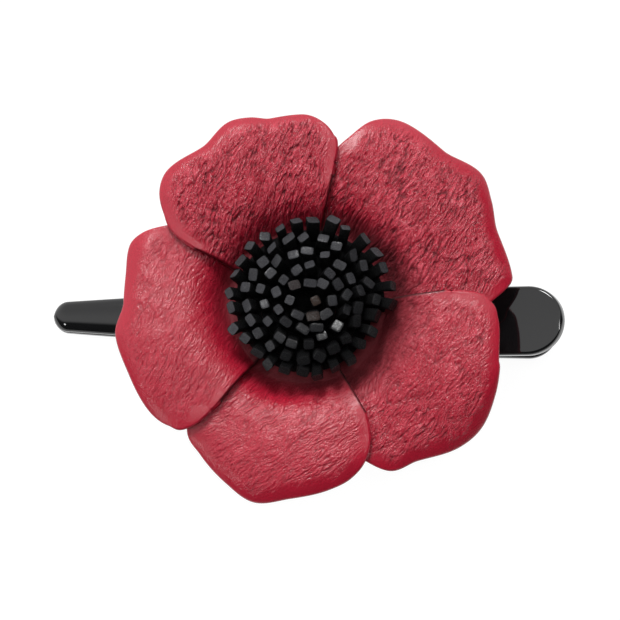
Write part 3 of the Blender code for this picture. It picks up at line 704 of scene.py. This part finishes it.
def finger(k, random):
    """One finger of the fringe: a rounded rectangle carried up its bent middle line.

    The last rings close over the cut end, which is flat, a little aslant, with worn edges. The other
    results say where the leather is cut, how far the end lies towards the lit side, where the material
    paints it paler and matte, with painted near-black shade and more gloss away from it, and how raw.
    other results say where the leather is cut, how dull the end is and how raw.
    """
    length = (k + 0.5) * FINGER_PITCH
    uncut = STRIP_UNCUT / STRIP_HEIGHT * FINGER_ROOT
    share = np.linspace(uncut, 1.0, FINGER_RINGS) ** 0.9
    share *= 1 + random.uniform(-0.06, 0.03)
    path = strip_point(np.full(FINGER_RINGS, length), share)
    lean = (random.normal(0, FINGER_LEAN, 2) + drift(length)) * MM
    grown = ((share - share[0]) / (share[-1] - share[0]))[:, None] ** 2
    path[:, :2] += lean * grown
    before, after = strip_point(length + np.array([-0.2, 0.2]) * MM, 0.5)
    along = unit(after - before)
    spin = random.normal(0, FINGER_TWIST) * grown
    rise = unit(np.gradient(path, axis=0))
    outer = unit(np.cross(rise, along))
    side = np.cross(outer, rise)
    c, s = np.cos(spin), np.sin(spin)
    side, outer = side * c + outer * s, outer * c - side * s
    wide = FINGER_WIDTH / 2 * random.uniform(0.76, 1.10)
    thick = STRIP_THICK / 2 * random.uniform(0.86, 1.04)
    square_x, square_y = (squared(value, SQUARENESS) for value in circle(FINGER_SIDES))
    section = (side[:, None] * (wide * square_x)[None, :, None]
               + outer[:, None] * (thick * square_y)[None, :, None])
    section = section * (1 + (TIP_SWELL - 1) * grown[:, :, None] ** 0.5)
    body = path[:, None] + section
    tilt = side[-1] * random.normal(0, TILT_ALONG) + outer[-1] * random.normal(0, TILT_ACROSS)
    body[-1] += rise[-1] * (section[-1] @ tilt)[:, None]
    cap = []
    for scale, lift in CAP:
        cap.append(path[-1] + (body[-1] - path[-1]) * scale + rise[-1] * lift * MM)
    rings = np.concatenate((body, np.array(cap)))
    shell = closed_tube(rings)
    cut = np.zeros((len(rings), FINGER_SIDES))
    cut[-3:] = 1.0
    # Painted light: ends towards the lit side are painted paler, ends away from it near black as shade.
    towards = (path[-1] - (0, FLOWER_Y, 0)) @ LIT_SIDE / MM
    dull = float(ease(towards, -9.0, 3.0)) * random.uniform(0.6, 1.0)
    raw = RAW_FINGERS.get(k, 0.0)
    return shell, np.concatenate((cut.reshape(-1), [0.0, 1.0])), dull, raw


def make_stamens(finish):
    """Rolled strip with its uncut foot, and the fingers that stand on it."""
    random = np.random.default_rng(5)
    length = np.linspace(0, FINGER_PITCH * FINGER_COUNT, 620)
    foot = STRIP_UNCUT / STRIP_HEIGHT
    _, angle, _ = roll(length)
    away = np.stack((np.cos(angle), np.sin(angle), 0 * angle), -1) * ROLL_PITCH * 0.49
    low, high = strip_point(length, 0 * length), strip_point(length, 0 * length + foot)
    rings = np.stack((low - away, low + away, high + away, high - away), 1)
    shells = [closed_tube(rings)]
    values = [np.zeros((3, len(shells[0][0])))]
    for k in range(FINGER_COUNT):
        shell, cut, dull, raw = finger(k, random)
        shells.append(shell)
        values.append(np.stack((cut, 0 * cut + dull, 0 * cut + raw)))
    cut, dull, raw = np.concatenate(values, 1)
    return new_piece("stamen_fringe", shells, "upper_body", "stamen_coil", "black_leather",
                     finish, cut=cut, dull=dull, raw=raw)


# ---- jaws ------------------------------------------------------------------------
def half_width(x, full_width):
    """Half width of a jaw: round tip, straight taper, straight sides, round tab end."""
    share = np.clip((x + TIP_REACH) / (TAPER_END + TIP_REACH), 0, 1)
    side = (TIP_WIDTH + (full_width - TIP_WIDTH) * share) / 2
    tip, end = TIP_WIDTH / 2, full_width / 2
    round_tip = np.sqrt(tip ** 2 - (tip - np.clip(x + TIP_REACH, 0, tip)) ** 2)
    round_end = np.sqrt(end ** 2 - (end - np.clip(TAB_REACH - x, 0, end)) ** 2)
    return np.minimum(side, np.where(x < 0, round_tip * side / tip, round_end))


def lower_under(x):
    """Underside of the lower jaw: flat, with the tip curled up."""
    return TIP_LIFT * np.clip((9 * MM - TIP_REACH - x) / (9 * MM), 0, None) ** 2


def upper_under(x):
    """Underside of the upper jaw: closed at the tip, arched over the hair, then a straight tab."""
    closed = JAW_THICK + TIP_LIFT + GAP
    crown = CROWN_TOP - JAW_THICK
    tab = math.tan(TAB_SLOPE)
    bend_end = HINGE.x + TAB_BEND
    marks = [(-TIP_REACH, closed), (-TIP_REACH + BEAK_LENGTH, closed + BEAK_RISE)]
    marks += [(-TIP_REACH + reach * MM, crown - ARCH_RISE * share) for reach, share in ARCH]
    marks += [(0.0, crown), (HINGE.x - 6 * MM, UPPER_UNDER_HINGE + 0.2 * MM),
              (HINGE.x, UPPER_UNDER_HINGE + 0.1 * MM),
              (bend_end, UPPER_UNDER_HINGE + tab * TAB_BEND)]
    arch = smooth_through(marks, np.minimum(x, bend_end))
    return np.where(x < bend_end, arch, UPPER_UNDER_HINGE + tab * (x - HINGE.x))


def jaw_shell(full_width, under, domed, slope):
    """Rounded section carried along a jaw.

    Each corner of the section is a quarter ellipse. Where the jaw is domed, the top corners
    widen towards the tip until they meet, so the tip is D-shaped and the tab stays flat. On a
    tab that slopes, the sections lean back until they stand square to it.
    """
    tip, end = TIP_WIDTH / 2, full_width / 2
    turn = np.linspace(0.02, math.pi / 2, 26)
    x = np.concatenate((-TIP_REACH + tip * (1 - np.cos(turn)),
                        np.linspace(-TIP_REACH + tip, TAB_REACH - end, 150)[1:-1],
                        TAB_REACH - end * (1 - np.cos(turn[::-1]))))
    width = half_width(x, full_width)
    bottom = under(x)
    dome = domed * (1 - ease(x, DOME_FROM, DOME_TO))
    across = np.minimum(TAB_EDGE + dome * (width * 0.97 - TAB_EDGE), width * 0.98)
    down = TAB_EDGE + dome * DOME_DROP
    tip_round = DOMED_TIP * domed + FLAT_TIP * (1 - domed)
    tip_drop = down * (1 - round_edge(x + TIP_REACH, tip_round))
    end_drop = TAB_EDGE * (1 - round_edge(TAB_REACH - x, TAB_EDGE))
    top = bottom + JAW_THICK - np.maximum(tip_drop, end_drop)
    low = np.minimum(FOOT_EDGE, width * 0.9)
    foot = bottom + 0.6 * end_drop
    quarter = np.linspace(0, math.pi / 2, 12)
    rings = []
    corners = ((1, top, across, -down, 1), (-1, top, across, -down, -1),
               (-1, foot, low, low, 1), (1, foot, low, low, -1))
    for side, level, reach, rise, turned in corners:
        c, s = np.cos(quarter)[::turned], np.sin(quarter)[::turned]
        y = side * (width[:, None] - reach[:, None] * (1 - c))
        z = level[:, None] + np.broadcast_to(rise, x.shape)[:, None] * (1 - s)
        rings.append(np.stack((np.broadcast_to(x[:, None], y.shape), y, z), -1))
    rings = np.concatenate(rings, 1)
    lean_from = HINGE.x + TAB_BEND
    lean = slope * np.clip((x - lean_from) / (TAB_REACH - end - lean_from), 0, 1)[:, None]
    over = rings[..., 2] - under(x)[:, None]
    rings[..., 0] -= over * np.sin(lean) * np.cos(lean)
    rings[..., 2] -= over * np.sin(lean) ** 2
    return closed_tube(rings)


def ear_shell(side_y, reach):
    """Lug with the pin's bore: a section loop carried round the bore.

    The outline is a round end and a straight web that reaches into the jaw, up or down.
    """
    c, s = circle(EAR_SIDES)
    towards, tiny = math.copysign(1, reach), 1e-6
    web = np.minimum(EAR_RADIUS / np.maximum(np.abs(c), tiny),
                     abs(reach) / np.maximum(np.abs(s), tiny))
    outline = np.where(s * towards > 0, web, EAR_RADIUS)
    bore = PIN_RADIUS + GAP * 0.6
    half, soft = EAR_THICK / 2, 0.15 * MM
    loop = ((0, -half), (0, half), (0.5, half), (1, half - soft), (1, soft - half), (0.5, -half))
    rings = []
    for share, y in loop:
        radius = (bore + 0 * outline, outline - soft, outline)[int(2 * share)]
        rings.append(np.stack((HINGE.x + radius * c, side_y + y + 0 * c, HINGE.z + radius * s), -1))
    rings = np.array(rings)
    return rings.reshape(-1, 3), [*map(tuple, grid_faces(len(loop), EAR_SIDES, True, True))]


def tooth_shells(level, direction, shift):
    """Two rows of small blunt teeth along a jaw: squares that shrink to a rounded point."""
    square = np.stack([squared(value, 0.5) for value in circle(TOOTH_SIDES, math.pi / 4)], -1)
    shells = []
    for k in range(TOOTH_COUNT):
        x = TOOTH_START + shift + k * TOOTH_PITCH
        y = float(half_width(np.array(x), LOWER_WIDTH)) - TOOTH_INSET
        for side in (1, -1):
            rings = []
            for size, lift in TOOTH_RINGS:
                ring = np.empty((TOOTH_SIDES, 3))
                ring[:, :2] = (x, side * y) + square * size * TOOTH_BASE / 2
                ring[:, 2] = level(np.array(x)) + direction * lift * TOOTH_HEIGHT
                rings.append(ring)
            shells.append(closed_tube(np.array(rings)))
    return shells


def spring_half():
    """Half the width of the spring's coil, with the last part of a turn."""
    pitch = 2 * WIRE_RADIUS + GAP
    return (SPRING_TURNS + 0.45) * pitch / 2 + WIRE_RADIUS


def make_jaws(finish):
    """Upper and lower jaw, each with its two lugs and its teeth."""
    upper_ear = spring_half() + GAP + EAR_THICK / 2
    lower_ear = upper_ear + EAR_THICK + GAP
    upper = [jaw_shell(UPPER_WIDTH, upper_under, 1.0, TAB_SLOPE)]
    lower = [jaw_shell(LOWER_WIDTH, lower_under, 0.0, 0.0)]
    for side in (1, -1):
        upper.append(ear_shell(side * upper_ear, UPPER_UNDER_HINGE + 0.8 * MM - HINGE.z))
        lower.append(ear_shell(side * lower_ear, JAW_THICK - 0.5 * MM - HINGE.z))
    upper += tooth_shells(upper_under, -1, TOOTH_PITCH / 2)
    lower += tooth_shells(lambda x: lower_under(x) + JAW_THICK, 1, 0.0)
    new_piece("upper_jaw_polished", upper, "upper_body", "upper_jaw", "black_plastic", finish)
    new_piece("lower_jaw_polished", lower, "lower_body", "lower_jaw", "black_plastic", finish)


# ---- hinge -----------------------------------------------------------------------
def make_pin(finish):
    """Pin turned about the hinge axis: a radius along Y, with domed heads."""
    half = PIN_HIGH.y
    head = (PIN_HIGH.x - PIN_LOW.x) / 2
    profile = [(0.25, half), (0.7, half - 0.03 * MM), (0.95, half - 0.12 * MM), (1.0, half - 0.25 * MM),
               (1.0, half - 0.45 * MM), (0.97, half - 0.5 * MM)]
    shaft = PIN_RADIUS / head
    c, s = circle(40)
    outline = profile + [(shaft, half - 0.5 * MM), (shaft, half - 2 * MM)]
    outline += [(share, -y) for share, y in outline[::-1]]
    share, y = np.array(outline).T[..., None]
    rings = np.stack((HINGE.x + head * share * c, y + 0 * c, HINGE.z + head * share * s), -1)
    new_piece("hinge_pin_turned", [closed_tube(rings)], "lower_body", "hinge_pin", "steel", finish)


def make_spring(finish):
    """Wire carried along the spring's line: a leg, the turns about the pin, the other leg."""
    start = math.pi / 2 + TAB_SLOPE
    stop = 1.5 * math.pi + 2 * math.pi * SPRING_TURNS
    pitch = 2 * WIRE_RADIUS + GAP
    width = pitch * (stop - start) / (2 * math.pi)
    angle = np.linspace(start, stop, 190)
    share = (angle - start) / (stop - start)
    coil = np.stack((HINGE.x + COIL_RADIUS * np.cos(angle), width / 2 - width * share,
                     HINGE.z + COIL_RADIUS * np.sin(angle)), -1)
    reach = np.linspace(1, 0.02, 24)[:, None] * SPRING_LEG
    upper = coil[0] + reach * np.array((math.cos(TAB_SLOPE), 0, math.sin(TAB_SLOPE)))
    lower = coil[-1] + reach[::-1] * np.array((1.0, 0, 0))
    path = np.concatenate((upper, coil, lower))
    run = unit(np.gradient(path, axis=0))
    out = unit(np.cross(run, (0.0, 1.0, 0.0)))
    across = np.cross(run, out)
    c, s = circle(16)
    ring = out[:, None] * c[None, :, None] + across[:, None] * s[None, :, None]
    size = np.ones(len(path))
    size[[0, -1]] = 0.7
    rings = path[:, None] + ring * (WIRE_RADIUS * size)[:, None, None]
    piece = new_piece("torsion_spring_wire", [closed_tube(rings)], None, "torsion_spring",
                      "steel", finish)
    edge = width / 2 - WIRE_RADIUS
    -edge
    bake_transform(piece)


# ---- seat of the flower --------------------------------------------------------------
SEAT_SIDES = 120


def make_disc(finish):
    """Leather disc with a rounded cut edge."""
    radius = (DISC_HIGH.x - DISC_LOW.x) / 2
    half = (DISC_HIGH.z - DISC_LOW.z) / 2
    middle = (DISC_HIGH.z + DISC_LOW.z) / 2
    slope = np.linspace(-math.pi / 2, math.pi / 2, 13)
    inset = 0.4 * MM
    share = np.concatenate((np.linspace(0.1, 0.95, 12), [1] * 13, np.linspace(0.95, 0.1, 12)))
    rise = np.concatenate((-np.ones(12), np.sin(slope), np.ones(12)))
    bulge = np.concatenate((np.zeros(12), np.cos(slope), np.zeros(12)))
    c, s = circle(SEAT_SIDES)
    ragged = 0.06 * MM * noise(6 * c, 6 * s, 71)
    out = (radius - inset) * share[:, None] + inset * bulge[:, None] + ragged * (share[:, None] ** 4)
    rings = np.stack((out * c, FLOWER_Y + out * s, middle + half * rise[:, None] + 0 * out), -1)
    shell = closed_tube(rings)
    cut = np.concatenate((np.repeat(bulge ** 0.5, SEAT_SIDES), [0, 0]))
    new_piece("backing_disc_leather", [shell], "upper_body", "backing_disc", "black_leather",
              finish, cut=cut, dull=np.ones(len(cut)))


def make_glue(finish):
    """Bed of set glue: an uneven oval pad with a bulging edge, between the crown and the disc."""
    c, s = circle(SEAT_SIDES)
    inner = np.linspace(0.08, 0.94, 10)
    size = np.concatenate((inner, [0.98, 1.0, 0.98], inner[::-1]))
    rise = np.concatenate((np.zeros(10), [0.2, 0.5, 0.8], np.ones(10)))[:, None]
    wander = 1 + 0.05 * noise(2.5 * c, 2.5 * s, 81) + 0.02 * noise(7 * c, 7 * s, 82)
    x = size[:, None] * ((GLUE_HIGH.x - GLUE_LOW.x) / 2 * 0.97 * squared(c, 0.8) * wander)
    y = size[:, None] * ((GLUE_HIGH.y - GLUE_LOW.y) / 2 * 0.97 * squared(s, 0.8) * wander)
    low = upper_under(x) + JAW_THICK + 0.05 * MM
    high = GLUE_HIGH.z + 0.25 * MM
    rings = np.stack((x, y, low + (high - low) * rise), -1)
    new_piece("glue_bed_set", [closed_tube(rings)], "upper_body", "glue_bed", "glue", finish)


# ---- studio ----------------------------------------------------------------------
ROOM_DIM = 0.05
# Soft panels: direction, cosine where the light starts, cosine where it is full, brightness.
# The second has a negative brightness, which dims the middle of the first.
ROOM = (((-0.38, 0.68, 0.63), 0.38, 0.60, 1.12), ((-0.38, 0.68, 0.63), 0.72, 1.0, -0.25),
        ((-0.17, 0.68, 0.71), 0.984, 0.996, 34.0), ((0.06, 0.04, 1.0), 0.9970, 0.9988, 22.0),
        ((-0.60, -0.50, 0.62), 0.9950, 0.9985, 16.0))
CAMERA_ELEVATION = math.radians(83.5)
CAMERA_DISTANCE = 0.600
CAMERA_ROLL = math.radians(1.25)
CAMERA_LENS, CAMERA_SENSOR = 170.7, 36
# Point aimed at: its height over the floor, then its place to the right and up in the view.
AIM_HEIGHT, AIM_RIGHT, AIM_UP = 10 * MM, 0.63 * MM, 1.91 * MM


def make_floor():
    """Pale table, large enough to fill every view."""
    bpy.ops.mesh.primitive_plane_add(size=6.0, location=(0, 0, 0))
    floor = bpy.context.object
    floor.name = "floor"
    finish = Finish("pale_floor", Roughness=0.9, Specular_IOR_Level=0.1)
    finish.surface(Base_Color=(0.12, 0.12, 0.12, 1), Emission_Color=(1, 1, 1, 1),
                   Emission_Strength=0.96)
    floor.data.materials.append(finish.material)


def make_world():
    """Dim room with one broad soft panel behind and three small bright ones; white to the camera."""
    world = bpy.data.worlds.new("room")
    bpy.context.scene.world = world
    world.use_nodes = True
    tree = world.node_tree
    back = tree.nodes["Background"]
    where = tree.nodes.new("ShaderNodeTexCoord").outputs["Generated"]

    def lobe(direction, low, high, amount):
        dot = tree.nodes.new("ShaderNodeVectorMath")
        dot.operation = "DOT_PRODUCT"
        tree.links.new(where, dot.inputs[0])
        dot.inputs[1].default_value = Vector(direction).normalized()
        step = tree.nodes.new("ShaderNodeMapRange")
        step.interpolation_type = "SMOOTHSTEP"
        tree.links.new(dot.outputs["Value"], step.inputs["Value"])
        for label, value in (("From Min", low), ("From Max", high), ("To Max", amount)):
            step.inputs[label].default_value = value
        return step.outputs["Result"]

    total = None
    for direction, low, high, amount in ROOM:
        part = lobe(direction, low, high, amount)
        if total is None:
            total = part
            continue
        add = tree.nodes.new("ShaderNodeMath")
        tree.links.new(total, add.inputs[0])
        tree.links.new(part, add.inputs[1])
        total = add.outputs[0]
    level = tree.nodes.new("ShaderNodeMath")
    tree.links.new(total, level.inputs[0])
    level.inputs[1].default_value = ROOM_DIM
    camera = tree.nodes.new("ShaderNodeLightPath").outputs["Is Camera Ray"]
    pick = tree.nodes.new("ShaderNodeMix")
    tree.links.new(camera, pick.inputs[0])
    tree.links.new(level.outputs[0], pick.inputs[2])
    pick.inputs[3].default_value = 1.0
    back.inputs["Color"].default_value = (1, 1, 1, 1)
    tree.links.new(pick.outputs[0], back.inputs["Strength"])


def make_camera():
    """Long lens almost straight above, a little towards -Y and turned a little about its axis."""
    back = Vector((0, -math.cos(CAMERA_ELEVATION), math.sin(CAMERA_ELEVATION)))
    right = Vector((1, 0, 0))
    up = back.cross(right)
    right_turned = right * math.cos(CAMERA_ROLL) + up * math.sin(CAMERA_ROLL)
    up_turned = up * math.cos(CAMERA_ROLL) - right * math.sin(CAMERA_ROLL)
    aim = Vector((0, 0, AIM_HEIGHT)) + right_turned * AIM_RIGHT + up_turned * AIM_UP
    data = bpy.data.cameras.new("camera")
    data.sensor_width = CAMERA_SENSOR
    data.lens = CAMERA_LENS
    data.clip_start = 0.01
    camera = bpy.data.objects.new("camera", data)
    bpy.context.scene.collection.objects.link(camera)
    turn = Matrix((right_turned, up_turned, back)).transposed().to_4x4()
    camera.matrix_world = Matrix.Translation(aim + back * CAMERA_DISTANCE) @ turn
    bpy.context.scene.camera = camera


# ---- everything ------------------------------------------------------------------
red = red_leather()
black = black_leather()
plastic = black_plastic()
steel = spring_steel()
for petal_name in PETALS:
    make_petal(petal_name, red)
make_stamens(black)
make_jaws(plastic)
make_pin(steel)
make_spring(steel)
make_disc(black)
make_glue(set_glue())
make_floor()
make_world()
make_camera()
scene = bpy.context.scene
scene.view_settings.view_transform = "Standard"
